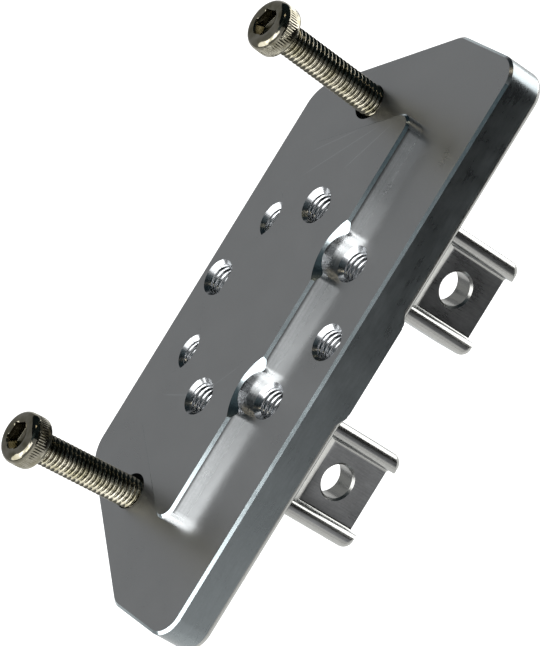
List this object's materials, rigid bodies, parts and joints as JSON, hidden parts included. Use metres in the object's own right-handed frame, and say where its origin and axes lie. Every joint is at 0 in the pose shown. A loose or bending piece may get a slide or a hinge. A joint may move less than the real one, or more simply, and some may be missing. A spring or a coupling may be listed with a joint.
{
  "type": "tube mount",
  "caption": "Six-sided mounting plate with a raised pad, a circle of tapped holes, cap screws in its front and two slotted lugs behind one edge.",
  "frame": {"origin": "centre of the circle of tapped holes, on the raised pad's top face", "axes": "+X along the plate's length, +Y along its width away from the lugs, +Z out of the pad's face"},
  "size_m": [0.1186, 0.0508, 0.0537],
  "materials": {
    "machined_alloy": "fine machined, satin to mirror",
    "stainless_screw": "plain stainless, rolled thread"
  },
  "bodies": {
    "root": {"mount_plate": "machined_alloy", "right_screw": "stainless_screw", "left_screw": "stainless_screw"}
  },
  "joints": []
}
